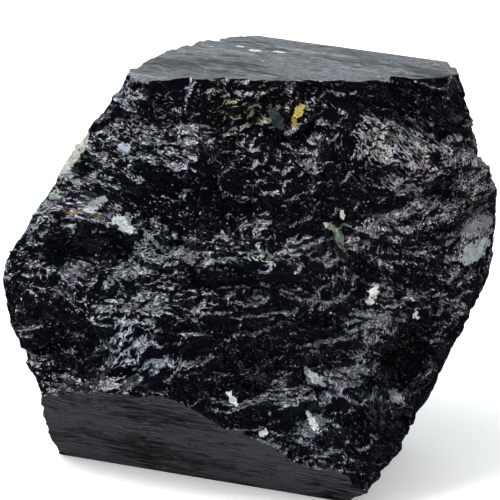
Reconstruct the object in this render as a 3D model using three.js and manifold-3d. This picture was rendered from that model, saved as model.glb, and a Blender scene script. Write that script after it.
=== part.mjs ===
// A hand-sized piece of black tourmaline (schorl), broken out of a thick prism.
//
// Units are millimetres and +Z is up. The crystal's length (its c axis) runs along X. Its natural
// prism faces are parallel to X: the flat base that the piece rests on, a low face at the front
// that hangs over the base, a level one on top and three at the back. The front edge of the prism
// and both of its ends are broken away. The big front break looks to -Y, turned to the right and
// leaning back. The origin is the centre of the bounding box's bottom, on the resting face.
import * as THREE from "three";
import { ConvexGeometry } from "three/addons/geometries/ConvexGeometry.js";
import { ImprovedNoise } from "three/addons/math/ImprovedNoise.js";
import { TessellateModifier } from "three/addons/modifiers/TessellateModifier.js";
import { mergeVertices } from "three/addons/utils/BufferGeometryUtils.js";
import Module from "manifold-3d";

// ---- driving dimensions ----

// Natural prism faces: the direction that each looks in, as an angle from +Y towards +Z in degrees,
// and its distance from the prism's middle line. Tourmaline's prism angles are multiples of 30.
const PRISM_MIDDLE = { y: 18, z: 36 };
const PRISM_FACES = [
  { name: "back", angle: 0, distance: 26 },
  { name: "upper back", angle: 30, distance: 36.4 },
  { name: "top", angle: 90, distance: 36.6 },
  { name: "lower front", angle: 210, distance: 33.6 },
  { name: "base", angle: 270, distance: 37 },
  { name: "lower back", angle: 330, distance: 29.5 },
];
const PRISM_HALF_LENGTH = 60;

// The front break's own frame: how far it is turned to the right of -Y and how far it leans back,
// in degrees, and the point from which places on the break are counted.
const BREAK_TURN = 22;
const BREAK_LEAN = 22;
const BREAK_CENTRE = new THREE.Vector3(-6, 14.9, 39.8);

// Corners of the broken block, before the prism faces trim it: [x, y, z].
const FRONT_BREAK_CORNERS = [
  [-25.5, 11, 77],
  [25.6, 33.4, 77],
  [-36.8, 10.6, 60],
  [-42, 6.5, 51],
  [-51, -1.2, 33.4],
  [-45.2, -4.7, 24.8],
  [-36.9, -9.9, 14.6],
  [-26, -18, -5],
  [-6, -19, -5],
  [12.5, -9, -5],
  [27.4, -1.5, 4.6],
];
const RIGHT_END_CORNERS = [
  [29.8, 7.7, 17.6],
  [37, 21, 35.8],
  [38, 26.4, 42.4],
  [37, 30.2, 47.7],
  [30.6, 34.6, 56],
  [25.4, 37.4, 63.2],
  [29, 48, 41],
  [24, 48, 59],
  [27, 47, 26],
  [12.5, 42, 0],
  [9.5, 17, -5],
];
const LEFT_END_CORNERS = [
  [-26, 22, 77],
  [-48, 14, 35],
  [-37.2, 1, -5],
  [-36.3, 14, -5],
  [-12, 38, 77],
  [-36, 48, 38],
  [-29, 36, -5],
];
const BACK_CORNERS = [
  [17.5, 42, 77],
  [11.5, 36, -5],
];

// Swells (height above 0) and hollows (below 0) of the front break. A place is counted across and
// up the break from its centre; width and length are half sizes, and tilt turns the length.
const BREAK_RELIEF = [
  { name: "wide hollow", across: -9, up: 7, length: 13, width: 6.5, tilt: -8, height: -2.6 },
  { name: "ledge under it", across: -3, up: -3, length: 17, width: 2.4, tilt: 0, height: 1.7 },
  { name: "undercut", across: -6, up: -7.2, length: 9, width: 2.8, tilt: 6, height: -1.2 },
  { name: "left lip", across: -27, up: 4.2, length: 9, width: 2, tilt: -6, height: 1.5 },
  { name: "left pocket", across: -29, up: -0.8, length: 9, width: 4, tilt: 0, height: -2.1 },
  { name: "long shelf", across: -12, up: -13, length: 20, width: 4.6, tilt: 9, height: 2 },
  { name: "lower left hollow", across: -32, up: -20, length: 8, width: 5, tilt: 0, height: -1.9 },
  { name: "lower hollow", across: 9, up: -20, length: 11, width: 8, tilt: 20, height: -2 },
  { name: "crest", across: 22, up: -18, length: 9, width: 2.2, tilt: 56, height: 1.8 },
  { name: "pocket by the crest", across: 28.5, up: -21, length: 6, width: 4, tilt: 50, height: -1.8 },
  { name: "upper swell", across: 27, up: 16, length: 10, width: 4.5, tilt: -38, height: 1.6 },
  { name: "upper hollow", across: 5, up: 20, length: 8, width: 4.5, tilt: -20, height: -1.6 },
  { name: "swell at the top edge", across: 17, up: 31, length: 11, width: 4, tilt: 0, height: 2 },
  { name: "step on the shoulder", across: 38, up: 8.2, length: 7, width: 1.8, tilt: -8, height: -1.8 },
  { name: "chip by the top corner", across: 41, up: 24, length: 6, width: 4, tilt: 80, height: -2.4 },
  { name: "chip by the low corner", across: 28, up: -36, length: 6, width: 3, tilt: 62, height: -1.8 },
];

// General unevenness of all broken faces: wave lengths and heights, stretched along the crystal.
const UNEVENNESS = [
  { wave: 15, height: 1.1 },
  { wave: 7, height: 0.9 },
  { wave: 4, height: 0.5 },
];
const STRETCH_ALONG_X = 1.5;

const FACET = 3.5; // longest edge of the broken faces' triangles
const TESSELLATE_ROUNDS = 12;
const SOFTEN_ROUNDS = 3; // how many times the block's straight corners are eased before the relief

// ---- frames and small helpers ----

const radians = THREE.MathUtils.degToRad;

function breakFrame() {
  const turn = radians(BREAK_TURN);
  const lean = radians(BREAK_LEAN);
  const out = new THREE.Vector3(
    Math.sin(turn) * Math.cos(lean),
    -Math.cos(turn) * Math.cos(lean),
    Math.sin(lean),
  );
  const across = new THREE.Vector3(Math.cos(turn), Math.sin(turn), 0);
  return { across, up: new THREE.Vector3().crossVectors(out, across), out };
}

function mergedPositions(geometry) {
  geometry.deleteAttribute("normal");
  geometry.deleteAttribute("uv");
  return mergeVertices(geometry, 1e-3);
}

// ---- the natural prism ----

// Corners of the prism's cross-section in the YZ plane: where each face's line meets the next one's.
function prismSection() {
  return PRISM_FACES.map((face, i) => {
    const next = PRISM_FACES[(i + 1) % PRISM_FACES.length];
    const a = radians(face.angle);
    const b = radians(next.angle);
    const turn = Math.sin(b - a);
    const y = (face.distance * Math.sin(b) - next.distance * Math.sin(a)) / turn;
    const z = (next.distance * Math.cos(a) - face.distance * Math.cos(b)) / turn;
    return new THREE.Vector2(PRISM_MIDDLE.y + y, PRISM_MIDDLE.z + z);
  });
}

function prismGeometry() {
  const geometry = new THREE.ExtrudeGeometry(new THREE.Shape(prismSection()), {
    depth: 2 * PRISM_HALF_LENGTH,
    bevelEnabled: false,
  });
  geometry.translate(0, 0, -PRISM_HALF_LENGTH);
  // The section's x and y become the crystal's Y and Z, and the extrusion runs along X.
  const turn = new THREE.Matrix4().makeBasis(
    new THREE.Vector3(0, 1, 0),
    new THREE.Vector3(0, 0, 1),
    new THREE.Vector3(1, 0, 0),
  );
  return mergedPositions(geometry.applyMatrix4(turn));
}

// ---- the broken block ----

// Eases a closed mesh's corners: each round moves every vertex halfway to its neighbours' middle.
function soften(geometry, rounds) {
  const place = geometry.attributes.position;
  const index = geometry.index.array;
  const neighbours = Array.from({ length: place.count }, () => new Set());
  for (let i = 0; i < index.length; i += 3) {
    for (const [a, b] of [[0, 1], [1, 2], [2, 0]]) {
      neighbours[index[i + a]].add(index[i + b]);
      neighbours[index[i + b]].add(index[i + a]);
    }
  }
  const point = new THREE.Vector3();
  for (let round = 0; round < rounds; round++) {
    const eased = neighbours.map((near, i) => {
      const middle = new THREE.Vector3();
      for (const j of near) middle.add(point.fromBufferAttribute(place, j));
      middle.divideScalar(near.size);
      return point.fromBufferAttribute(place, i).lerp(middle, 0.5).clone();
    });
    eased.forEach((p, i) => place.setXYZ(i, p.x, p.y, p.z));
  }
}

// Height of the front break's swells and hollows at a point.
function reliefAt(point, frame) {
  const from = point.clone().sub(BREAK_CENTRE);
  const across = from.dot(frame.across);
  const up = from.dot(frame.up);
  let height = 0;
  for (const form of BREAK_RELIEF) {
    const turn = radians(form.tilt);
    const da = across - form.across;
    const du = up - form.up;
    const along = (da * Math.cos(turn) + du * Math.sin(turn)) / form.length;
    const aside = (du * Math.cos(turn) - da * Math.sin(turn)) / form.width;
    height += form.height * Math.exp(-(along * along + aside * aside));
  }
  return height;
}

function unevennessAt(point, noise) {
  let height = 0;
  for (const { wave, height: share } of UNEVENNESS) {
    const x = point.x / (wave * STRETCH_ALONG_X);
    height += share * noise.noise(x, point.y / wave, point.z / wave);
  }
  return height;
}

function brokenBlock() {
  const corners = [
    ...FRONT_BREAK_CORNERS,
    ...RIGHT_END_CORNERS,
    ...LEFT_END_CORNERS,
    ...BACK_CORNERS,
  ].map((corner) => new THREE.Vector3(...corner));
  const hull = new ConvexGeometry(corners);
  const block = mergedPositions(new TessellateModifier(FACET, TESSELLATE_ROUNDS).modify(hull));
  soften(block, SOFTEN_ROUNDS);
  block.computeVertexNormals();

  const frame = breakFrame();
  const noise = new ImprovedNoise();
  const place = block.attributes.position;
  const facing = block.attributes.normal;
  const point = new THREE.Vector3();
  const normal = new THREE.Vector3();
  for (let i = 0; i < place.count; i++) {
    point.fromBufferAttribute(place, i);
    normal.fromBufferAttribute(facing, i);
    const onFront = THREE.MathUtils.smoothstep(normal.dot(frame.out), 0, 0.7);
    const height = onFront * reliefAt(point, frame) + unevennessAt(point, noise);
    point.addScaledVector(normal, height);
    place.setXYZ(i, point.x, point.y, point.z);
  }
  return block;
}

// ---- join and cut ----

const wasm = await Module();
wasm.setup();

function solidOf(geometry) {
  return new wasm.Manifold(
    new wasm.Mesh({
      numProp: 3,
      vertProperties: new Float32Array(geometry.attributes.position.array),
      triVerts: new Uint32Array(geometry.index.array),
    }),
  );
}

function geometryOf(solid) {
  const mesh = solid.getMesh();
  return new THREE.BufferGeometry()
    .setAttribute("position", new THREE.BufferAttribute(mesh.vertProperties, 3))
    .setIndex(new THREE.BufferAttribute(mesh.triVerts, 1));
}

// The piece: what the broken block and the natural prism have in common, on its base's centre.
function crystalGeometry() {
  const crystal = geometryOf(solidOf(brokenBlock()).intersect(solidOf(prismGeometry())));
  crystal.computeBoundingBox();
  const { min, max } = crystal.boundingBox;
  crystal.translate(-(min.x + max.x) / 2, -(min.y + max.y) / 2, -min.z);
  crystal.computeVertexNormals();
  return crystal;
}

const schorl = new THREE.MeshStandardMaterial({ color: 0x17181c, roughness: 0.35, metalness: 0 });
const crystal = new THREE.Mesh(crystalGeometry(), schorl);
crystal.name = "tourmaline_crystal";

const group = new THREE.Group();
group.add(crystal);
export default group;
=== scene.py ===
# %% [markdown]
# # A piece of black tourmaline
# Schorl is the black kind of tourmaline. It grows in thick three- or six-sided prisms whose faces
# carry fine lines along the crystal, and it breaks with a rough, splintery surface that glitters.
# This piece was broken out of a thick prism. Two lined prism faces show at the front, one on top
# and one low down, and between them is one big rough break.
#
# The solid model of the piece is the frame: it gives every size and place. The rough surface could
# be painted on that solid with bump alone, but then its outline would stay smooth. So the splinters
# are made as real geometry here, and only what is finer than a third of a millimetre is left to the
# materials.

# %% Load the frame
import math
from typing import NamedTuple

import bmesh
import bpy
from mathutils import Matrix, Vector


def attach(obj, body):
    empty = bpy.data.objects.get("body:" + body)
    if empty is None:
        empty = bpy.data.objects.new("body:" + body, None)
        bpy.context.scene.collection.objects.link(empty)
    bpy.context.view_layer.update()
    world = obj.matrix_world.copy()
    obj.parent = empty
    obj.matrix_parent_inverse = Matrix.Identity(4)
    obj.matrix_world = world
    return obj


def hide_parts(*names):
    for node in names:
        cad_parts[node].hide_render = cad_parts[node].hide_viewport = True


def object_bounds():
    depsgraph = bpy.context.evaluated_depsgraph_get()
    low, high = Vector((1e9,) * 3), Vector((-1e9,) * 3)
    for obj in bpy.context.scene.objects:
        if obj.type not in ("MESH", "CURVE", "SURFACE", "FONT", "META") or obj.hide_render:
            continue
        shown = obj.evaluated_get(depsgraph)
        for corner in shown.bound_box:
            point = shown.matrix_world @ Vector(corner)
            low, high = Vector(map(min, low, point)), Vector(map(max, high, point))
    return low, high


MM = 0.001
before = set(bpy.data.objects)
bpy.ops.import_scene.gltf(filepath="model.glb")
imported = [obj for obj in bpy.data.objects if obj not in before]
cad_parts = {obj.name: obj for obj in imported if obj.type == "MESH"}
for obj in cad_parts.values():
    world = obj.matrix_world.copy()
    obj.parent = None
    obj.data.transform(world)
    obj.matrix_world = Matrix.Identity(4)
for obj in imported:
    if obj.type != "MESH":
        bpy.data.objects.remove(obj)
plain_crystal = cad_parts["tourmaline_crystal"]
cad_low, cad_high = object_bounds()
box_middle = (cad_low + cad_high) / 2
print("frame:", [round(side / MM, 1) for side in cad_high - cad_low], "mm")

# %% [markdown]
# ## Where the big break is
# The break looks to the front, turned a little to the right and leaning back. Places on it are
# easier to give in its own directions: across it, up it and out of it. The camera stands straight
# out from it, and the hollows, grains and stains further down are placed with the same directions.

# %% The break's own directions
BREAK_TURN = math.radians(22)
BREAK_LEAN = math.radians(22)
break_middle = box_middle + Vector((0.2, -1.7, 4.0)) * MM

break_out = Vector(
    (
        math.sin(BREAK_TURN) * math.cos(BREAK_LEAN),
        -math.cos(BREAK_TURN) * math.cos(BREAK_LEAN),
        math.sin(BREAK_LEAN),
    )
)
break_across = Vector((math.cos(BREAK_TURN), math.sin(BREAK_TURN), 0))
break_up = break_out.cross(break_across)
print("the break looks to", [round(part, 3) for part in break_out])

# %% [markdown]
# ## Camera
# A long lens from a metre away shows a small thing with hardly any perspective. The camera looks
# straight at the break, so the level top face is seen at a low angle and shines.

# %% Camera
CAMERA_DISTANCE = 1.0
VIEW_WIDTH = 92 * MM
SENSOR = 36.0

camera_data = bpy.data.cameras.new("camera")
camera_data.sensor_width = SENSOR
camera_data.lens = SENSOR * CAMERA_DISTANCE / VIEW_WIDTH
camera_data.clip_start = 0.1
camera_data.clip_end = 20
camera = bpy.data.objects.new("camera", camera_data)
bpy.context.scene.collection.objects.link(camera)
camera.location = break_middle + break_out * CAMERA_DISTANCE
camera.rotation_euler = (-break_out).to_track_quat("-Z", "Y").to_euler()
bpy.context.scene.camera = camera
print("lens:", round(camera_data.lens), "mm")


# %% [markdown]
# ## Helpers for modelling as by hand
# Operators act on whatever is selected, so each step first selects one object and nothing else.
# Modifiers are added, set and applied in one go, which leaves a plain mesh for the next step.
# Faces and edges are picked by a test on their place or direction, as the eye picks them by hand.

# %% Selecting and applying
def only(obj):
    """Selects one object and nothing else, as a click on it does."""
    bpy.ops.object.select_all(action="DESELECT")
    obj.select_set(True)
    bpy.context.view_layer.objects.active = obj


def apply_modifier(obj, kind, **settings):
    """Adds a modifier with these settings and applies it at once."""
    only(obj)
    modifier = obj.modifiers.new(kind.lower(), kind)
    for name, value in settings.items():
        setattr(modifier, name, value)
    bpy.ops.object.modifier_apply(modifier=modifier.name)


def pick(obj, element, wanted):
    """In edit mode, selects the faces or edges of obj that pass a test, and returns how many."""
    mesh = bmesh.from_edit_mesh(obj.data)
    bpy.ops.mesh.select_all(action="DESELECT")
    bpy.ops.mesh.select_mode(type="FACE" if element == "faces" else "EDGE")
    found = [part for part in getattr(mesh, element) if wanted(part)]
    for part in found:
        part.select_set(True)
    mesh.select_flush_mode()
    bmesh.update_edit_mesh(obj.data)
    return len(found)


print("helpers:", only.__name__, apply_modifier.__name__, pick.__name__)


# %% [markdown]
# ## Nodes as Python
# The rough surface and the finishes are both made with nodes. Long chains of Math nodes are hard
# to read, so this small class wraps a socket and turns Python's own signs into nodes: writing
# `1 - mask` adds a Math node that subtracts. The same class serves geometry nodes and shaders,
# because noise, cells and maths are the same nodes in both.

# %% A socket that does maths
MIX_FACTOR, MIX_LOW, MIX_HIGH, MIX_COLOUR = 0, 6, 7, 2  # the Mix node's sockets for colours


class Field:
    """One socket of a node tree. Its operators add Math or Vector Math nodes."""

    def __init__(self, tree, socket=None):
        self.tree = tree
        self.socket = socket

    def node(self, kind, settings=None, sockets=None, output=0):
        """Adds a node: its settings first, then the value or link of each socket."""
        made = self.tree.nodes.new(kind)
        for name, value in (settings or {}).items():
            setattr(made, name, value)
        for name, value in (sockets or {}).items():
            if isinstance(value, Field):
                self.tree.links.new(value.socket, made.inputs[name])
            else:
                made.inputs[name].default_value = value
        return Field(self.tree, made.outputs[output])

    def beside(self, output):
        """Another output of the node that self comes from."""
        return Field(self.tree, self.socket.node.outputs[output])

    def is_vector(self):
        """True for places, directions and noise colours read as vectors."""
        return self.socket.type == "VECTOR"

    def combined(self, operation, first, second):
        """A Vector Math node if either is a vector, or else a Math node."""
        if any(isinstance(x, Field) and x.is_vector() for x in (first, second)):
            kind = "ShaderNodeVectorMath"
            first, second = [
                x if isinstance(x, (Field, tuple)) else (x, x, x) for x in (first, second)
            ]
        else:
            kind = "ShaderNodeMath"
        return self.node(kind, {"operation": operation}, {0: first, 1: second})

    def __add__(self, other):
        return self.combined("ADD", self, other)

    def __radd__(self, other):
        return self.combined("ADD", other, self)

    def __sub__(self, other):
        return self.combined("SUBTRACT", self, other)

    def __rsub__(self, other):
        return self.combined("SUBTRACT", other, self)

    def __mul__(self, other):
        if self.is_vector() and isinstance(other, Field) and not other.is_vector():
            return self.node(
                "ShaderNodeVectorMath", {"operation": "SCALE"}, {0: self, "Scale": other}
            )
        return self.combined("MULTIPLY", self, other)

    def __rmul__(self, other):
        return self.combined("MULTIPLY", other, self)

    def dot(self, other):
        """How far self reaches along a direction."""
        settings = {"operation": "DOT_PRODUCT"}
        other = other if isinstance(other, Field) else tuple(other)
        return self.node("ShaderNodeVectorMath", settings, {0: self, 1: other}, "Value")

    def number(self, operation, other=0.0):
        """One Math node on self, such as ABSOLUTE or MAXIMUM."""
        return self.node("ShaderNodeMath", {"operation": operation}, {0: self, 1: other})

    def step(self, low, high):
        """0 below low, 1 above high, and a soft S between them. With low above high it falls."""
        sockets = {"Value": self, "From Min": low, "From Max": high}
        return self.node("ShaderNodeMapRange", {"interpolation_type": "SMOOTHSTEP"}, sockets)

    def noise(self, wave, detail=2.0, roughness=0.5, output="Fac"):
        """Noise with the given wave length, where self is a place in millimetres."""
        sockets = {"Vector": self, "Scale": 1 / wave, "Detail": detail, "Roughness": roughness}
        return self.node("ShaderNodeTexNoise", None, sockets, output)

    def cells(self, size, output="Distance", softness=0.0):
        """Voronoi cells of about this size, where self is a place in millimetres."""
        sockets = {"Vector": self, "Scale": 1 / size, "Randomness": 1.0}
        feature = "F1"
        if softness:
            feature = "SMOOTH_F1"
            sockets["Smoothness"] = softness
        return self.node("ShaderNodeTexVoronoi", {"feature": feature}, sockets, output)

    def mix(self, low, high):
        """A colour from low to high, with self as the factor."""
        low, high = [(*x, 1) if isinstance(x, tuple) else x for x in (low, high)]
        sockets = {MIX_FACTOR: self, MIX_LOW: low, MIX_HIGH: high}
        return self.node("ShaderNodeMix", {"data_type": "RGBA"}, sockets, MIX_COLOUR)


def blend(first, second, share):
    """From the first Field to the second, with share as the second's part."""
    return first + (second - first) * share


print("Field works with", [name for name in vars(Field) if not name.startswith("_")])

# %% [markdown]
# ## The natural faces
# Tourmaline's prism faces stand at multiples of 30 degrees round the crystal, which runs along X.
# The frame's flat faces at those angles are the natural ones, and everything else on it is broken.
# Measuring them on the frame, instead of writing their numbers here, keeps both models together.

# %% Find the natural faces
MIN_FACE_AREA = 100 * MM**2
FACE_STEP = 30
STRAIGHT = 0.99999


def prism_direction(normal):
    """The nearest prism direction to a normal, if the normal is that direction."""
    nearest = FACE_STEP * round(math.degrees(math.atan2(normal.z, normal.y)) / FACE_STEP)
    angle = math.radians(nearest)
    direction = Vector((0, math.cos(angle), math.sin(angle)))
    return direction if normal.dot(direction) > STRAIGHT else None


def natural_faces(mesh):
    """Each natural face as the direction it looks in and its distance from the origin."""
    sums = {}
    for face in mesh.polygons:
        direction = prism_direction(face.normal)
        if direction is None:
            continue
        key = tuple(round(part, 3) for part in direction)
        area, moment = sums.get(key, (0, 0))
        sums[key] = (area + face.area, moment + face.area * face.center.dot(direction))
    return [
        (Vector(key), moment / area) for key, (area, moment) in sums.items() if area > MIN_FACE_AREA
    ]


prism_faces = natural_faces(plain_crystal.data)
for direction, distance in prism_faces:
    print("natural face", [round(part, 2) for part in direction], round(distance / MM, 1), "mm")

# %% [markdown]
# ## The broken block
# Where a break meets a natural face, the real edge is crisp and nibbled: every splinter ends at the
# face. A rough surface that fades out before the edge looks melted. So the rough block is made
# first, a little too big where the natural faces are, and a smooth prism trims it afterwards, as
# the crystal's own faces once did.
#
# The block starts as a copy of the frame, and its natural faces are extruded outwards.

# %% Grow the block past its natural faces
GROWTH = 3 * MM
ON_FACE = 0.02 * MM
SAME_WAY = 0.9999

block = plain_crystal.copy()
block.data = plain_crystal.data.copy()
block.name = "rough_block"
block.parent = None
for key in list(block.keys()):
    del block[key]
bpy.context.scene.collection.objects.link(block)


def on_natural_face(face):
    """True if a face lies in one of the natural faces."""
    place = face.calc_center_median()
    return any(
        face.normal.dot(direction) > SAME_WAY and abs(place.dot(direction) - distance) < ON_FACE
        for direction, distance in prism_faces
    )


only(block)
bpy.ops.object.mode_set(mode="EDIT")
bpy.ops.mesh.select_all(action="SELECT")
bpy.ops.mesh.remove_doubles(threshold=0.001 * MM)
grown = pick(block, "faces", on_natural_face)
bpy.ops.mesh.extrude_region_shrink_fatten(
    TRANSFORM_OT_shrink_fatten={"value": GROWTH, "use_even_offset": True}
)
bpy.ops.object.mode_set(mode="OBJECT")
print("natural facets grown:", grown)
print("grown box:", [round(side / MM, 1) for side in block.dimensions], "mm")

# %% [markdown]
# ## An even mesh to break up
# The frame's surface is made of straight facets a few millimetres wide, too coarse for splinters.
# A voxel remesh gives an even mesh. Done once, coarsely, and smoothed, it turns the facets into
# soft swells. Done again, finely, it gives enough points for steps of half a millimetre.
# Subdividing would keep the facets' corners, so the remesh suits broken stone better.

# %% Even out the block
COARSE_VOXEL = 0.9 * MM
FINE_VOXEL = 0.36 * MM

apply_modifier(block, "REMESH", mode="VOXEL", voxel_size=COARSE_VOXEL)
apply_modifier(block, "SMOOTH", factor=0.5, iterations=5)
apply_modifier(block, "REMESH", mode="VOXEL", voxel_size=FINE_VOXEL)
apply_modifier(block, "SMOOTH", factor=0.5, iterations=4)
print("block faces:", len(block.data.polygons))

# %% [markdown]
# ## What the splinters are made of
# Schorl breaks into shards: small flat facets, each tilted its own way, with a step where one ends
# and the next begins. Voronoi cells make them. Inside a cell, the height is a ramp in a direction
# drawn from the cell's own random colour, so every cell is a tilted facet. Thin crests, made from
# the line where a noise crosses its middle value, run between them.
#
# The shards and crests are longer along the crystal. On the real break that direction wanders, so
# the places are first moved in slow swirls, which bend the pattern as grain bends round a knot.

# %% Shards, crests and swirls
NOISE_OFFSET = (137.3, 91.7, 53.9)  # takes the noises away from their lined-up zero planes
SWIRL_SIZE = 24
SWIRL_REACH = 16


def centred(colour):
    """A noise's or cell's colour as a vector around zero."""
    settings = {"operation": "SUBTRACT"}
    return colour.node("ShaderNodeVectorMath", settings, {0: colour, 1: (0.5, 0.5, 0.5)})


def swirled(place):
    """Places moved in slow swirls, so that a drawn-out pattern changes its direction."""
    return place + centred(place.noise(SWIRL_SIZE, detail=0.0, output="Color")) * SWIRL_REACH


def shards(place, size, slope, softness=0.0):
    """Height of tilted facets of about this size, in millimetres."""
    middle = place.cells(size, "Position", softness)
    tilt = centred(middle.beside("Color"))
    return tilt.dot(place - middle) * slope


def crests(place, wave, narrow):
    """Thin sharp crests between wide soft valleys, from 0 to 1."""
    away = (place.noise(wave, detail=1.0) - 0.5).number("ABSOLUTE")
    crest = (1 - away * (2 * narrow)).number("MAXIMUM", 0.0)
    return crest * crest


print("swirls:", SWIRL_SIZE, "mm wide, about", SWIRL_REACH / 4, "mm of reach")

# %% [markdown]
# ## Patches of the break
# The big break isn't the same all over. It has hollows and ledges, silky zones and black ones, and
# a few grains of other minerals. Each is a patch with a name, given by its middle across and up the
# break, half its length and width, and its tilt, all in millimetres and degrees. A mask is made
# from each by measuring how far a place is from the middle, in the patch's own lengths and widths.

# %% Patches
ON_BREAK = (-16, -10)  # how far out of the break's middle plane its surface lies, and a margin


class Patch(NamedTuple):
    """An oval patch of the break."""

    place: tuple
    size: tuple
    tilt: float
    strength: float = 1.0
    colour: tuple = (0.0, 0.0, 0.0)


def on_break(place):
    """Where a place in millimetres is across, up and out of the big break, from its middle."""
    from_middle = place - tuple(break_middle / MM)
    return [from_middle.dot(way) for way in (break_across, break_up, break_out)]


def mask(across, up, patch, outer=1.5, inner=0.5):
    """1 in the middle of a patch, falling to 0 round it."""
    turn = math.radians(patch.tilt)
    from_across = across - patch.place[0]
    from_up = up - patch.place[1]
    along = (from_across * math.cos(turn) + from_up * math.sin(turn)) * (1 / patch.size[0])
    aside = (from_up * math.cos(turn) - from_across * math.sin(turn)) * (1 / patch.size[1])
    return (along * along + aside * aside).step(outer, inner)


def total(across, up, patches):
    """The sum of the masks of some patches, each times its own strength."""
    added = 0
    for patch in patches.values():
        added = mask(across, up, patch) * patch.strength + added
    return added


print("a patch holds", Patch._fields)

# %% [markdown]
# ## Hollows and ledges
# The strength of these patches is a height: below zero for a hollow and above it for a ledge or a
# crest. They only nudge the surface, because the frame has the big forms already.

# %% Hollows and ledges of the break
BREAK_RELIEF = {
    "wide hollow": Patch(place=(-10, 7.5), size=(12, 5), tilt=-4, strength=-1.6),
    "left pocket": Patch(place=(-29, -0.6), size=(8, 3.4), tilt=0, strength=-1.6),
    "small pit": Patch(place=(1.8, -9.2), size=(2.4, 1.5), tilt=0, strength=-1.6),
    "lower left hollow": Patch(place=(-32, -19), size=(6.5, 5), tilt=0, strength=-1.5),
    "low hollow": Patch(place=(-1, -24), size=(8, 5), tilt=20, strength=-1.6),
    "pocket by the crest": Patch(place=(28.5, -20.5), size=(6, 3.2), tilt=50, strength=-1.8),
    "crest": Patch(place=(22, -18), size=(9, 1.5), tilt=56, strength=1.2),
    "ledge": Patch(place=(-3, -2.4), size=(17, 1.6), tilt=0, strength=1.1),
    "groove on the shoulder": Patch(place=(38, 20), size=(6, 1.2), tilt=-30, strength=-1.1),
    "next groove": Patch(place=(39, 9), size=(6, 1.2), tilt=-20, strength=-1.3),
    "hollow up on the right": Patch(place=(32, 23), size=(6, 2.6), tilt=-30, strength=-1.4),
    "chip off the low corner": Patch(place=(29, -35.5), size=(8, 4), tilt=62, strength=-1.0),
    "chip at its foot": Patch(place=(22, -43.5), size=(4.5, 3), tilt=35, strength=-0.7),
    "dent in the left flank": Patch(place=(-39.5, -23), size=(7, 3), tilt=-68, strength=-0.8),
    "dent beside the top face": Patch(place=(-18, 36), size=(6, 3), tilt=20, strength=-0.5),
}
for name, form in BREAK_RELIEF.items():
    print(f"{name}: {form.strength} mm")

# %% [markdown]
# ## Breaking the block's surface
# Geometry nodes move each point along its normal by a height. Two sizes of shard give the steps,
# two sizes of crest give the sharp ridges, and one long noise gives the slow swells. Where the
# surface turns away from the camera's side the height is less, so the outline stays as calm as a
# real chip's. A Displace modifier could do this with one texture, but nodes can add and steer
# several. The mesh is then thinned, because flat parts of a shard need few triangles.

# %% Break the surface
SHARD_STRETCH = 1.7
BROAD_CREST, THIN_CREST, SWELL = 0.35, 0.15, 3.6  # heights in millimetres
MEAN_CREST = 0.3
CALM_EDGE = 0.4  # the share of the height where the surface is seen edge on
BREAK_WARP = 7.0  # how far, in millimetres, noise sways the edges of the patches
DECIMATE_RATIO = 0.62


def geometry_tree(name):
    """A new geometry node tree, and a Field on the mesh that comes into it."""
    made = bpy.data.node_groups.new(name, "GeometryNodeTree")
    made.interface.new_socket("Geometry", in_out="INPUT", socket_type="NodeSocketGeometry")
    made.interface.new_socket("Geometry", in_out="OUTPUT", socket_type="NodeSocketGeometry")
    return made, Field(made).node("NodeGroupInput")


def move_along_normals(incoming, height):
    """Ends a geometry tree by moving each point out by height, in millimetres."""
    offset = incoming.node("GeometryNodeInputNormal") * (height * MM)
    sockets = {"Geometry": incoming, "Offset": offset}
    moved = incoming.node("GeometryNodeSetPosition", None, sockets)
    end = incoming.tree.nodes.new("NodeGroupOutput")
    incoming.tree.links.new(moved.socket, end.inputs[0])


tree, incoming = geometry_tree("splintery break")
place = incoming.node("GeometryNodeInputPosition") * (1 / MM) + NOISE_OFFSET
drawn_out = swirled(place) * (1 / SHARD_STRETCH, 1.0, 1.0)
warp = centred(drawn_out.noise(6.0, detail=3.0, output="Color"))
warped = drawn_out + warp * 5.0

rough = shards(warped, size=5.5, slope=0.55, softness=0.12)
rough = rough + shards(warped + warp * 2.0, size=2.4, slope=0.42, softness=0.08)
rough = rough + (crests(warped, wave=3.6, narrow=2.5) - MEAN_CREST) * BROAD_CREST
rough = rough + (crests(warped + warp * 1.5, wave=1.9, narrow=2.5) - MEAN_CREST) * THIN_CREST
rough = rough + (drawn_out.noise(wave=9.0, detail=1.0) - 0.5) * SWELL
face_on = incoming.node("GeometryNodeInputNormal").dot(break_out).number("ABSOLUTE")
height = rough * (face_on.step(0.05, 0.6) * (1 - CALM_EDGE) + CALM_EDGE)

across, up, out = on_break(place - NOISE_OFFSET + warp * BREAK_WARP)
height = height + total(across, up, BREAK_RELIEF) * out.step(*ON_BREAK)
move_along_normals(incoming, height)
apply_modifier(block, "NODES", node_group=tree)
apply_modifier(block, "DECIMATE", ratio=DECIMATE_RATIO)
print("rough box:", [round(side / MM, 1) for side in block.dimensions], "mm")

# %% [markdown]
# ## The natural prism
# The prism is cut out of a plain box with one bisect for each natural face. Its long edges get a
# narrow bevel, because a real crystal's edge catches a thin line of light.

# %% Cut the prism
PRISM_MARGIN = 8 * MM
EDGE_BEVEL = 0.35 * MM

bpy.ops.object.select_all(action="DESELECT")
bpy.ops.mesh.primitive_cube_add(size=1, location=box_middle)
prism = bpy.context.object
prism.name = "natural_prism"
prism.scale = (cad_high - cad_low) + Vector((1, 1, 1)) * 2 * PRISM_MARGIN
bpy.ops.object.transform_apply(location=True, rotation=True, scale=True)

bpy.ops.object.mode_set(mode="EDIT")
for direction, distance in prism_faces:
    bpy.ops.mesh.select_all(action="SELECT")
    bpy.ops.mesh.bisect(
        plane_co=direction * distance, plane_no=direction, use_fill=True, clear_outer=True
    )
bpy.ops.object.mode_set(mode="OBJECT")


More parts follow.
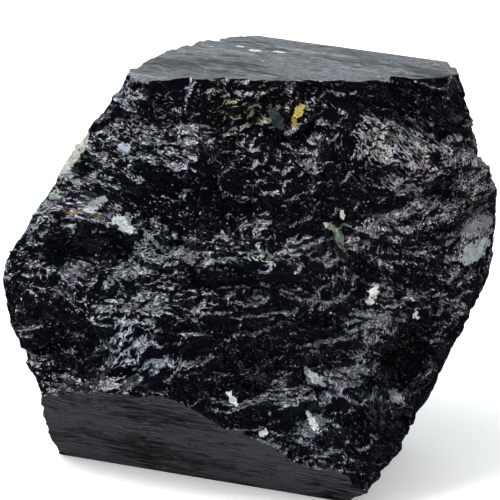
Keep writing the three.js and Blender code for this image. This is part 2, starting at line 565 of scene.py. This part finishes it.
def edge_way(edge):
    """From an edge's one end to its other."""
    return edge.verts[1].co - edge.verts[0].co


def runs_along(edge):
    """True for an edge parallel to the crystal's length."""
    return abs(edge_way(edge).normalized().x) > SAME_WAY


bpy.ops.object.mode_set(mode="EDIT")
long_edges = pick(prism, "edges", runs_along)
bpy.ops.mesh.bevel(offset=EDGE_BEVEL, segments=2)
bpy.ops.object.mode_set(mode="OBJECT")
print("long edges bevelled:", long_edges)

# %% [markdown]
# ## Room for the growth lines
# The growth lines run straight along the crystal. So each face is divided finely across and only
# coarsely along: a mesh drawn out the same way as the lines shows them with few faces. Edges of
# one length belong to one face, so each length gets its own number of cuts.

# %% Divide the prism's faces
LINE_SPACING = 0.3 * MM
LENGTH_CUTS = 23
SAME_LENGTH = 0.011 * MM


def runs_across(length):
    """A test for edges that cross the crystal and are this long."""
    return lambda edge: not runs_along(edge) and abs(edge_way(edge).length - length) < SAME_LENGTH


bpy.ops.object.mode_set(mode="EDIT")
section = bmesh.from_edit_mesh(prism.data)
lengths = {round(edge_way(edge).length / MM, 2) for edge in section.edges if not runs_along(edge)}
for length in sorted(lengths):
    cuts = round(length * MM / LINE_SPACING) - 1
    if cuts > 0:
        pick(prism, "edges", runs_across(length * MM))
        bpy.ops.mesh.subdivide(number_cuts=cuts)
pick(prism, "edges", runs_along)
bpy.ops.mesh.subdivide(number_cuts=LENGTH_CUTS)
bpy.ops.object.mode_set(mode="OBJECT")
print("prism faces:", len(prism.data.polygons))

# %% [markdown]
# ## Growth lines
# As a tourmaline grows, its prism faces build up in many narrow steps, which show as grooves along
# its whole length. Noise that is stretched fifty times along X makes grooves that never quite end.
# The base stays flat, because the piece rests on it.

# %% Growth lines on the prism
GROOVE_DEPTH = 0.6
WAVE_DEPTH = 0.5
BASE_DIRECTION = (0, 0, -1)

tree, incoming = geometry_tree("growth lines")
lined = incoming.node("GeometryNodeInputPosition") * (1 / MM) * (0.02, 1.0, 1.0)
lines = (lined.noise(1.6, detail=3.0, roughness=0.7) - 0.5) * GROOVE_DEPTH
lines = lines + (lined.noise(6.0, detail=1.0) - 0.5) * WAVE_DEPTH
off_base = incoming.node("GeometryNodeInputNormal").dot(BASE_DIRECTION).step(0.6, 0.4)
move_along_normals(incoming, lines * off_base)
apply_modifier(prism, "NODES", node_group=tree)
print("lined box:", [round(side / MM, 1) for side in prism.dimensions], "mm")

# %% [markdown]
# ## Black, glassy stone
# Schorl is nearly pure black, and what is seen on it is mostly its gloss, so both finishes start
# from a black base and schorl's own refractive index. What changes over the surface is plugged in
# afterwards. All patterns read Object coordinates in millimetres: the piece stays at the origin,
# so a grain is the same size in the script as on the stone.

# %% A black, glassy material
SCHORL_IOR = 1.64


def black_glass(name):
    """A new material for black, glassy stone, and a Field on its places in millimetres."""
    made = bpy.data.materials.new(name)
    made.use_nodes = True
    shader = made.node_tree.nodes["Principled BSDF"]
    shader.inputs["IOR"].default_value = SCHORL_IOR
    place = Field(made.node_tree).node("ShaderNodeTexCoord", output="Object") * (1 / MM)
    return made, shader, place


def plug(value, shader, socket):
    """Links a Field to one of the shader's sockets."""
    value.tree.links.new(value.socket, shader.inputs[socket])


def bump(height):
    """A Bump node for a height in millimetres."""
    sockets = {"Height": height * MM, "Strength": 1.0, "Distance": 1.0}
    return height.node("ShaderNodeBump", None, sockets)


print("schorl's refractive index:", SCHORL_IOR)

# %% [markdown]
# ## Fine splinters
# Under a lens, the break is a felt of hair-thin splinters that lie roughly one way, like crumpled
# foil. They are far too fine for the mesh. The same crests and shards as before make them, at three
# sizes and drawn out along one direction, and they give a height for the bump, a mask of the crests
# that catch the light, and a mask of the finest hairs.

# %% Splinters drawn out along a direction
def squeezed(place, direction, factor):
    """Places squeezed along a direction, which draws a pattern out along it."""
    along = place.dot(direction) * (1 - 1 / factor)
    sockets = {0: tuple(direction), "Scale": along}
    drawn = place.node("ShaderNodeVectorMath", {"operation": "SCALE"}, sockets)
    return place - drawn


def splinters(place, direction, stretch, curl):
    """Fine splinters drawn out along a direction: their height, crests and hair-thin crests."""
    drawn = squeezed(place, direction, stretch)
    bend = centred(drawn.noise(3.2, detail=3.0, output="Color"))
    bent = drawn + bend * curl
    broad = crests(bent, wave=2.1, narrow=2.4)
    thin = crests(bent + bend * 1.2, wave=0.95, narrow=2.4)
    hair = crests(bent - bend * 0.8, wave=0.52, narrow=2.0)
    height = broad * 0.15 + thin * 0.12 + hair * 0.04 + shards(bent, size=1.6, slope=0.2)
    return height, broad * 0.3 + thin * 0.6 + hair * 0.35, hair


def slanting(degrees):
    """A direction in the break, turned up from straight across."""
    turn = math.radians(degrees)
    return break_across * math.cos(turn) + break_up * math.sin(turn)


print("a steep splinter runs along", [round(part, 2) for part in slanting(-75)])

# %% [markdown]
# ## Which way the splinters lie
# On the left they lie level, along the crystal. To the right they slant down, and low down they
# stand almost upright and are finer. Three sets are blended by where a place is on the break, and
# the place is swayed by noise first, so that no border between them is straight.

# %% Lay the splinters on the break
RIGHT_FINENESS = 1.5
LOW_FINENESS = 1.45

broken, shader, place = black_glass("schorl_broken")
_, _, out = on_break(place)
on_front = out.step(*ON_BREAK)
loose = swirled(place + NOISE_OFFSET)
sway = centred(loose.noise(5.0, detail=4.0, roughness=0.6, output="Color"))
far_across, far_up, _ = on_break(place + sway * BREAK_WARP)

level = splinters(loose, slanting(0), stretch=1.8, curl=3.6)
slanted = splinters(loose * RIGHT_FINENESS, slanting(-36), stretch=3.2, curl=2.6)
steep = splinters(loose * LOW_FINENESS, slanting(-75), stretch=1.6, curl=3.6)
on_right = (far_across + far_up * 0.25).step(4, 12)
on_low = (far_across * 0.6 - far_up * 0.8).step(2, 12)
height, crest, hair = [
    blend(blend(first, second, on_right), third, on_low)
    for first, second, third in zip(level, slanted, steep)
]
print("nodes so far:", len(place.tree.nodes))

# %% [markdown]
# ## Silky zones and black zones, with painted light and shade
# Where the splinters are crushed, the stone looks silky and grey. Some pale patches, on the ledge,
# the crest, the swell on the right and the shoulders, are also painted highlight where those forms
# face the lamps. In the hollows it is glassy, and the black patches there, under the ledge and
# above the low face are painted shade; the other black patches are darker zones of the break. These
# patches say how much silk there is, from their strength, on top of a noise that breaks their
# borders up.

# %% Silky and dark patches
# Partly silk and partly painted highlight: the ledge, crest, swell and shoulder patches are paler
# where those forms face the lamps.
SILKY_AND_LIT_PATCHES = {
    "band under the ledge": Patch(place=(-20, -12), size=(13, 3.5), tilt=8, strength=0.38),
    "bluish patch": Patch(place=(-19.5, -18.8), size=(4.5, 3.2), tilt=-10, strength=0.85),
    "band's right end": Patch(place=(6, -8), size=(12, 3), tilt=22, strength=0.6),
    "upper left": Patch(place=(-14, 20), size=(7, 5), tilt=-35, strength=0.5),
    "left edge": Patch(place=(-28, 10), size=(6, 4), tilt=0, strength=0.55),
    "upper middle": Patch(place=(-3.5, 12.5), size=(5.5, 2.2), tilt=-35, strength=1.0),
    "swell on the right": Patch(place=(27, 16), size=(10, 5), tilt=-38, strength=1.35),
    "streak below it": Patch(place=(32, 8), size=(9, 2.2), tilt=-25, strength=0.7),
    "right shoulder": Patch(place=(40, 13), size=(8, 3.5), tilt=-68, strength=1.8),
    "low shoulder": Patch(place=(40, 0), size=(6, 5), tilt=0, strength=0.6),
    "streak down from the ledge": Patch(place=(0, -7.5), size=(8, 1.8), tilt=50, strength=0.7),
    "crest": Patch(place=(22.5, -17.5), size=(9, 1.8), tilt=58, strength=1.6),
    "low middle": Patch(place=(10, -32), size=(4, 2), tilt=-60, strength=0.5),
    "ledge": Patch(place=(-2, -2), size=(16, 1.8), tilt=-2, strength=0.7),
    "rusty part": Patch(place=(1.5, 27), size=(9.5, 3.5), tilt=0, strength=0.55),
}
# Partly painted shade, in the hollows, under the ledge and above the low face, and partly darker
# zones of the break.
DARK_AND_SHADED_PATCHES = {
    "wide hollow": Patch(place=(-9, 5), size=(10, 4.5), tilt=0, strength=1.3),
    "its foot": Patch(place=(-8, 2.5), size=(10, 3), tilt=-4, strength=1.2),
    "left pocket": Patch(place=(-29, -1), size=(9, 4), tilt=0, strength=0.9),
    "lower left": Patch(place=(-33, -20), size=(7, 6), tilt=0, strength=0.9),
    "left tip": Patch(place=(-40, -7), size=(6, 8), tilt=0, strength=0.9),
    "above the low face": Patch(place=(-26, -25.5), size=(17, 4), tilt=-6, strength=2.4),
    "upper left edge": Patch(place=(-28, 22), size=(6, 5), tilt=50, strength=0.7),
    "under the ledge": Patch(place=(-2, -6), size=(9, 3), tilt=10, strength=0.9),
    "lower middle": Patch(place=(-1, -23), size=(8, 5), tilt=20, strength=0.9),
    "pocket by the crest": Patch(place=(29, -20), size=(7, 4), tilt=50, strength=0.9),
    "upper hollow": Patch(place=(-4, 20), size=(5, 3), tilt=-40, strength=0.7),
    "above the middle": Patch(place=(6, 18.5), size=(6, 3), tilt=0, strength=0.6),
    "middle": Patch(place=(12, 8), size=(10, 8), tilt=0, strength=0.35),
    "right of the rust": Patch(place=(15, 21), size=(6, 6), tilt=0, strength=0.6),
    "top right": Patch(place=(30, 28), size=(12, 3), tilt=0, strength=0.7),
    "bottom right": Patch(place=(28, -30), size=(11, 8), tilt=60, strength=0.8),
    "left of the crest": Patch(place=(9, -19), size=(8, 7), tilt=30, strength=0.85),
    "low middle": Patch(place=(6, -32), size=(11, 4), tilt=-15, strength=0.35),
}
print("silky patches:", len(SILKY_AND_LIT_PATCHES), "dark patches:", len(DARK_AND_SHADED_PATCHES))

# %% [markdown]
# ## How silky each place is, with painted light
# The big forms matter too. On the break, facets that look up and to the left, towards the overhead
# softbox, are painted palest: this is painted light. On the broken ends, where no patches are
# given, the facets that look up are painted paler. The surface's own normal tells both apart, so
# the painted light follows the mesh's facets.

# %% How silky each place is
NEAR_BREAK = (-10, -4)
# Painted light: a facet is painted paler the more it looks up and to the left, towards the overhead
# softbox, and on the ends the more it looks up. The pull below is painted light, not silk.
PAINTED_LIGHT_WAY = (break_up * 0.85 - break_across * 0.5).normalized()
PAINTED_LIGHT_LEVEL = 0.06
PAINTED_LIGHT_PULL = 2.4  # how much more silk a facet has that looks the silky way
PAINTED_TOP_LIGHT_PULL = 1.4  # and the same on the ends, for a facet that looks up

near_break = out.step(*NEAR_BREAK)
normal = place.node("ShaderNodeNewGeometry", output="Normal")
# This mask is partly silk and partly painted light and shade.
silk_and_painted_light = (loose * (0.7, 1.0, 1.0)).noise(6.5, detail=3.0, roughness=0.55).step(0.40, 0.66) * 0.5
# Partly painted highlight: the pale patches on the ledge, crest, swell and shoulders.
silk_and_painted_light = silk_and_painted_light + total(far_across, far_up, SILKY_AND_LIT_PATCHES) * near_break * 0.8
# Painted shade: the black patches in the hollows, under the ledge and above the low face.
silk_and_painted_light = silk_and_painted_light - total(far_across, far_up, DARK_AND_SHADED_PATCHES) * on_front

facing = normal.dot(break_out).step(0.2, 0.6) * near_break
painted_light_on_break = (normal.dot(PAINTED_LIGHT_WAY) - PAINTED_LIGHT_LEVEL) * PAINTED_LIGHT_PULL
broad_zones = loose.noise(13.0, detail=2.0).step(0.44, 0.6)
painted_light_on_ends = normal.dot((0.0, 0.0, 1.0)) * PAINTED_TOP_LIGHT_PULL + broad_zones * 0.5 - 0.25
# Adds the painted light that follows the facets' directions.
silk_and_painted_light = silk_and_painted_light + blend(painted_light_on_ends, painted_light_on_break, facing)
silk_and_painted_light = silk_and_painted_light.number("MAXIMUM", 0.0).number("MINIMUM", 1.0)
plug(bump(height * (silk_and_painted_light * 0.7 + 0.3)), shader, "Normal")
print("nodes so far:", len(place.tree.nodes))

# %% [markdown]
# ## The colour of the break, with painted glints
# Only the crests of the splinters are pale, and the more silk there is, the wider the pale part of
# each crest. This pale grey is painted glint: the light that the crests catch, put into the colour.
# The pale part is grey with a breath of violet and green. Near the top it is stained olive by rust,
# and low down on the left it is bluish. Between the crests the stone is black. A second, finer
# noise makes some fibres brighter than others, and the hairs cut thin black lines into the grey.

# %% Colour the crests
PAINTED_GLINT_EDGE = 0.965
GLASSY_ROUGHNESS = 0.17
SILK_IS_ROUGHER_BY = 0.25
COLD_GLINT_GREY = (0.47, 0.52, 0.58)
WARM_GLINT_GREY = (0.51, 0.505, 0.565)
BLACK = (0.0008, 0.0009, 0.0034)
OLIVE = (0.42, 0.39, 0.14)
SEA_BLUE = (0.38, 0.50, 0.60)
RUST = Patch(place=(1.5, 26.0), size=(9.5, 4.2), tilt=0)
BLUISH = Patch(place=(-21, -17), size=(8, 5), tilt=-20)

# Painted glint: the pale grey on the crests stands in for the light they catch.
painted_glint = (crest + silk_and_painted_light * 0.5 - PAINTED_GLINT_EDGE).step(0.0, 0.24)
tint = centred(loose.noise(4.5, detail=3.0, roughness=0.6, output="Color"))
warmth = (far_across + far_up).step(-15, 25)
grey = tint * (0.24, 0.36, 0.54) + warmth.mix(COLD_GLINT_GREY, WARM_GLINT_GREY)
rusty = mask(far_across, far_up, RUST) * on_front * loose.noise(1.8, detail=3.0).step(0.34, 0.52)
grey = (rusty * 0.8).mix(grey, OLIVE)
grey = (mask(far_across, far_up, BLUISH) * on_front * 0.5).mix(grey, SEA_BLUE)
shine = loose.noise(1.1, detail=3.0, roughness=0.6).step(0.38, 0.64) * 0.75 + 0.25
lines = hair.step(0.08, 0.6) * 0.94 + 0.06
colour = (painted_glint * lines * shine + hair * 0.005).mix(BLACK, grey)
plug(painted_glint * SILK_IS_ROUGHER_BY + GLASSY_ROUGHNESS, shader, "Roughness")
print("grey on the left:", COLD_GLINT_GREY, "and on the right:", WARM_GLINT_GREY)

# %% [markdown]
# ## Grains of other minerals, and painted facets
# Quartz, feldspar and mica sit in the break as small pale flakes, with a yellow grain near the top
# and a crust on the left edge. The entries called facets are no grains: they are schorl painted
# pale, as painted reflections of the lamps in flat facets. A real grain has straight broken sides.
# An oval mask with a noisy edge looks like a paint spot, so each place is first moved to the middle
# of a
# small Voronoi cell: the oval then becomes a cluster of angular chips.

# %% Where the grains are
GRAINS_AND_PAINTED_FACETS = {
    "yellow grain": Patch(place=(8.9, 25.2), size=(1.5, 0.8), tilt=62, colour=(0.60, 0.48, 0.12)),
    "its ochre foot": Patch(place=(8.0, 23.4), size=(1.0, 0.5), tilt=80, colour=(0.30, 0.22, 0.05)),
    "blue-grey film": Patch(
        place=(4.9, 23.8), size=(2.2, 1.0), tilt=-60, colour=(0.03, 0.042, 0.05)
    ),
    "rusty streak": Patch(place=(-33.0, 6.9), size=(1.6, 0.4), tilt=-4, colour=(0.20, 0.14, 0.07)),
    "streak's end": Patch(place=(-28.4, 6.2), size=(1.8, 0.4), tilt=-6, colour=(0.08, 0.05, 0.02)),
    "pale flake": Patch(place=(-23.0, 4.6), size=(2.4, 1.1), tilt=-38, colour=(0.50, 0.56, 0.53)),
    "its tail": Patch(place=(-17.5, 1.6), size=(3.4, 0.35), tilt=-48, colour=(0.16, 0.17, 0.17)),
    # Painted reflections: the next two facets are schorl painted pale where they mirror the lamps.
    "pale facet": Patch(place=(-28.2, 8.4), size=(2.6, 0.9), tilt=28, colour=(0.44, 0.48, 0.50)),
    "upper facet": Patch(place=(-23.0, 18.6), size=(1.3, 0.9), tilt=20, colour=(0.40, 0.44, 0.52)),
    "edge crust": Patch(place=(-32.6, 17.0), size=(5.2, 1.0), tilt=52, colour=(0.40, 0.43, 0.38)),
    "green grain": Patch(place=(16.2, 2.4), size=(1.3, 0.8), tilt=-60, colour=(0.14, 0.21, 0.15)),
    "pale green flake": Patch(
        place=(14.8, 4.2), size=(1.5, 0.5), tilt=-30, colour=(0.55, 0.62, 0.53)
    ),
    "cream grain": Patch(place=(16.9, 6.6), size=(1.0, 0.4), tilt=80, colour=(0.66, 0.62, 0.54)),
    "white grain": Patch(place=(22.5, -7.6), size=(1.5, 0.8), tilt=70, colour=(0.82, 0.84, 0.82)),
    "second white grain": Patch(
        place=(22.0, -9.4), size=(0.8, 0.7), tilt=0, colour=(0.60, 0.62, 0.60)
    ),
    "small white grain": Patch(
        place=(30.2, -12.0), size=(0.8, 0.5), tilt=90, colour=(0.60, 0.61, 0.60)
    ),
    "low white grain": Patch(
        place=(-3.3, -27.0), size=(1.7, 0.6), tilt=-55, colour=(0.74, 0.78, 0.77)
    ),
    "lowest white grain": Patch(
        place=(2.4, -33.4), size=(1.0, 0.6), tilt=25, colour=(0.66, 0.74, 0.72)
    ),
    "white sliver": Patch(
        place=(11.2, -31.0), size=(2.2, 0.6), tilt=-62, colour=(0.66, 0.72, 0.70)
    ),
    "silky fibres": Patch(
        place=(11.8, -23.2), size=(2.6, 0.8), tilt=-38, colour=(0.36, 0.40, 0.40)
    ),
    # Painted reflections: the low facet, the shoulder facet and the facet under it are schorl
    # painted pale where they mirror the lamps.
    "low facet": Patch(place=(26.6, -26.8), size=(1.8, 1.0), tilt=-50, colour=(0.34, 0.37, 0.38)),
    "shoulder facet": Patch(place=(41.5, 4.4), size=(3.4, 1.7), tilt=25, colour=(0.25, 0.24, 0.26)),
    "facet under it": Patch(
        place=(41.0, -0.2), size=(3.3, 1.6), tilt=42, colour=(0.34, 0.38, 0.40)
    ),
}
for name, grain in GRAINS_AND_PAINTED_FACETS.items():
    print(f"{name}: {2 * grain.size[0]:.1f} x {2 * grain.size[1]:.1f} mm")

# %% Set the grains
CHIP_SIZE = 0.45
CHIP_WARP = 0.3
GRAINS_END = (-6, -2)

chipped = (place + sway * CHIP_WARP).cells(CHIP_SIZE, "Position")
chip_across, chip_up, _ = on_break(chipped)
ragged = ((chipped + NOISE_OFFSET).noise(1.2, detail=3.0, roughness=0.75) - 0.5) * 4.0 + 1
lined_grain = hair.step(0.0, 0.25) * 0.7 + 0.3
for grain in GRAINS_AND_PAINTED_FACETS.values():
    there = mask(chip_across, chip_up, grain, outer=1.6, inner=0.4) * out.step(*GRAINS_END)
    there = (there * ragged).step(0.45, 0.5) * lined_grain
    colour = there.mix(colour, grain.colour)
print("grains set:", len(GRAINS_AND_PAINTED_FACETS))

# %% [markdown]
# ## Glitter
# All over the break, single tiny facets happen to mirror a lamp. These images are painted into the
# colour as highlights: dots a fifth of a millimetre wide, in a few cells out of many, each chosen
# by the cell's own random colour.

# %% Glitter
SPARKLE_SPACING = 2.0
SPARKLE_COLOUR = (0.55, 0.57, 0.60)


def specks(place, spacing, reach, rarity):
    """Scattered round specks: 1 in the middle of a few cells."""
    away = place.cells(spacing)
    chance = away.beside("Color").dot((1.0, 0.0, 0.0))
    return (away + (1 - chance) * rarity).step(reach, reach * 0.6)


# Painted highlights: the sparkles are pale dots in the colour.
sparkle = specks(loose, SPARKLE_SPACING, reach=0.12, rarity=0.35)
colour = sparkle.mix(colour, SPARKLE_COLOUR)
plug(colour, shader, "Base Color")
print("nodes of the broken finish:", len(place.tree.nodes))

# %% [markdown]
# ## The lined faces' finish
# The natural faces are a duller, violet black with a silky sheen, drawn out along the crystal like
# wood. Fine streaks lie in cloudy zones: in some places the face is almost plain and in others it
# is full of short dark strokes. Dark strokes are rougher and pale ones smoother, so at a low angle
# the face shines in streaks.

# %% Streaks on the natural faces
lined_face, shader, place = black_glass("schorl_natural_face")
TOP_LEVEL = (60, 65)
SCUFF = Patch(place=(-12, 1.5), size=(14, 4.5), tilt=17)
STROKE_COLOUR = (0.001, 0.001, 0.0015)
SHEEN_COLOUR = (0.043, 0.0395, 0.0495)
STROKE_ROUGHNESS = 0.72
SHEEN_IS_SMOOTHER_BY = 0.56

x, y, z = [place.dot(way) for way in ((1, 0, 0), (0, 1, 0), (0, 0, 1))]
on_top = z.step(*TOP_LEVEL)
loose = place + NOISE_OFFSET
wavy = loose + centred(loose.noise(6.0, detail=2.0, output="Color")) * (0.0, 1.8, 1.8)
streaks = (wavy * (0.12, 1.0, 1.0)).noise(1.0, detail=4.0, roughness=0.7)
grain = (wavy * (0.14, 1.0, 1.0)).noise(0.45, detail=3.0, roughness=0.7)
hairlines = (loose * (0.04, 1.0, 1.0)).noise(0.5, detail=3.0, roughness=0.7)
plug(bump(hairlines * 0.1 + grain * 0.16 + streaks * 0.5), shader, "Normal")

clouds = (loose * (0.5, 1.0, 1.0)).noise(8.0, detail=3.0) - 0.5
scuffed = mask(x, y, SCUFF) * on_top
woody = streaks * 0.5 + grain * 0.5 + clouds * 0.38 - scuffed * 0.08
woody = woody.step(0.37, 0.56)
plug(STROKE_ROUGHNESS - woody * SHEEN_IS_SMOOTHER_BY, shader, "Roughness")
print("nodes so far:", len(place.tree.nodes))

# %% [markdown]
# ## Crumbs and dust on top
# A few white crumbs are stuck to the top face near its back, and it carries some pale dust. The
# crumbs are placed by x and y, which are the top face's own directions, and broken into chips as
# the grains are.

# %% Crumbs and dust
TOP_CRUMBS = {
    "crumb": Patch(place=(-5.3, 14.4), size=(1.2, 0.4), tilt=0),
    "crumb on its right": Patch(place=(-0.7, 15.2), size=(1.4, 0.35), tilt=0),
    "crumb on its left": Patch(place=(-8.6, 15.4), size=(0.8, 0.35), tilt=0),
}
CRUMB_CHIP = 0.35
DUST_SPACING = 1.8
DUST_COLOUR = (0.60, 0.62, 0.62)

chipped = wavy.cells(CRUMB_CHIP, "Position") - NOISE_OFFSET
chip_x, chip_y = [chipped.dot(way) for way in ((1, 0, 0), (0, 1, 0))]
crumbs = total(chip_x, chip_y, TOP_CRUMBS) * on_top
crumbs = (crumbs * (1 + (grain - 0.5) * 5.0)).step(0.4, 0.5)
dust = specks(loose * (0.5, 1.0, 1.0), DUST_SPACING, reach=0.16, rarity=0.5) * on_top * 0.6
colour = woody.mix(STROKE_COLOUR, SHEEN_COLOUR)
colour = crumbs.number("MAXIMUM", dust).mix(colour, DUST_COLOUR)
plug(colour, shader, "Base Color")
print("nodes of the natural faces' finish:", len(place.tree.nodes))

# %% [markdown]
# ## Trim the block with the prism
# The piece is what the rough block and the lined prism have in common. A boolean keeps that, and
# gives each face the finish of the one it came from, so the border between rough and lined is
# exactly the edge of the break. The shading is smooth over small angles and sharp over big ones,
# which keeps the steps of the shards crisp.

# %% Trim the block
SHARP_ANGLE = math.radians(38)

for piece, finish in ((block, broken), (prism, lined_face)):
    piece.data.materials.clear()
    piece.data.materials.append(finish)
apply_modifier(
    block,
    "BOOLEAN",
    operation="INTERSECT",
    solver="MANIFOLD",
    material_mode="TRANSFER",
    object=prism,
)
bpy.data.objects.remove(prism)
crystal = block
crystal.name = "tourmaline_crystal_finished"
only(crystal)
bpy.ops.object.shade_smooth_by_angle(angle=SHARP_ANGLE)
triangles = sum(len(face.vertices) - 2 for face in crystal.data.polygons)
print("finishes:", [slot.name for slot in crystal.material_slots])
print("crystal triangles:", triangles)

# %% [markdown]
# ## Floor
# A sheet of pale, matt paper. It glows faintly, as paper lit from behind does, so that it stays
# pale around a black stone. Its reflection is kept off the stone, whose lower side would otherwise
# turn grey.

# %% Floor
bpy.ops.object.select_all(action="DESELECT")
bpy.ops.mesh.primitive_plane_add(size=6, location=(0, 0, 0))
floor = bpy.context.object
floor.name = "floor"
paper = bpy.data.materials.new("pale_paper")
paper.use_nodes = True
sheet = paper.node_tree.nodes["Principled BSDF"]
sheet.inputs["Base Color"].default_value = (0.93, 0.93, 0.93, 1)
sheet.inputs["Roughness"].default_value = 0.9
sheet.inputs["Emission Color"].default_value = (1, 1, 1, 1)
sheet.inputs["Emission Strength"].default_value = 0.35
floor.data.materials.append(paper)
floor.visible_glossy = False
print("floor:", floor.name)


# %% [markdown]
# ## Lights
# On black, glossy stone each lamp is seen twice: by what it lights and by its mirror image. A
# strong softbox overhead rakes over the splinters. A long one behind is there for its image in the
# top face, which shines towards the camera at a low angle. Two weak ones give the sides a soft
# edge, and a big ceiling without an image fills the shadows.

# %% Softboxes
def softbox(name, direction, distance, size, radiance, colour=(1, 1, 1)):
    """A rectangular lamp that looks at the crystal, as bright per area as radiance says."""
    lamp = bpy.data.lights.new(name, "AREA")
    lamp.shape = "RECTANGLE"
    lamp.size, lamp.size_y = size
    lamp.energy = radiance * math.pi * size[0] * size[1]
    lamp.color = colour
    holder = bpy.data.objects.new(name, lamp)
    way = Vector(direction).normalized()
    holder.location = box_middle + way * distance
    holder.rotation_euler = way.to_track_quat("Z", "Y").to_euler()
    bpy.context.scene.collection.objects.link(holder)
    print(f"{name}: {lamp.energy:.2f} W")
    return holder


softbox(
    "overhead_softbox",
    direction=(-0.45, -0.28, 1.0),
    distance=0.7,
    size=(0.36, 0.36),
    radiance=11.0,
)
softbox(
    "back_softbox",
    direction=(-0.35, 0.86, 0.40),
    distance=1.1,
    size=(1.5, 0.45),
    radiance=3.1,
    colour=(0.90, 1.03, 1.08),
)
softbox(
    "left_softbox",
    direction=(-1.0, -0.1, 0.45),
    distance=0.9,
    size=(0.4, 0.5),
    radiance=1.2,
)
softbox(
    "right_softbox",
    direction=(1.0, 0.25, 0.5),
    distance=0.9,
    size=(0.3, 0.4),
    radiance=1.2,
)
ceiling = softbox(
    "ceiling",
    direction=(0.0, -0.2, 1.0),
    distance=1.5,
    size=(3.5, 3.5),
    radiance=0.9,
)
ceiling.visible_glossy = False

# %% [markdown]
# ## A dim room
# The room around is nearly black, with a faint glow from below. The low face hangs over and looks
# down, and this glow is what shows its lines.

# %% A dim room
ROOM_LIGHT = 0.012
GLOW_FROM_BELOW = 0.09

world = bpy.data.worlds.new("studio")
bpy.context.scene.world = world
world.use_nodes = True
room = world.node_tree.nodes["Background"]
way = Field(world.node_tree).node("ShaderNodeTexCoord", output="Generated")
below = way.dot((0, 0, -1)).step(0.5, 0.9)
plug(below * GLOW_FROM_BELOW + ROOM_LIGHT, room, "Strength")
room.inputs["Color"].default_value = (1, 1, 1, 1)
bpy.context.scene.view_settings.view_transform = "Standard"
print("room light:", ROOM_LIGHT)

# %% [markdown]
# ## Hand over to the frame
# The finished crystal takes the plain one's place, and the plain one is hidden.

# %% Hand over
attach(crystal, "root")
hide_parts("tourmaline_crystal")
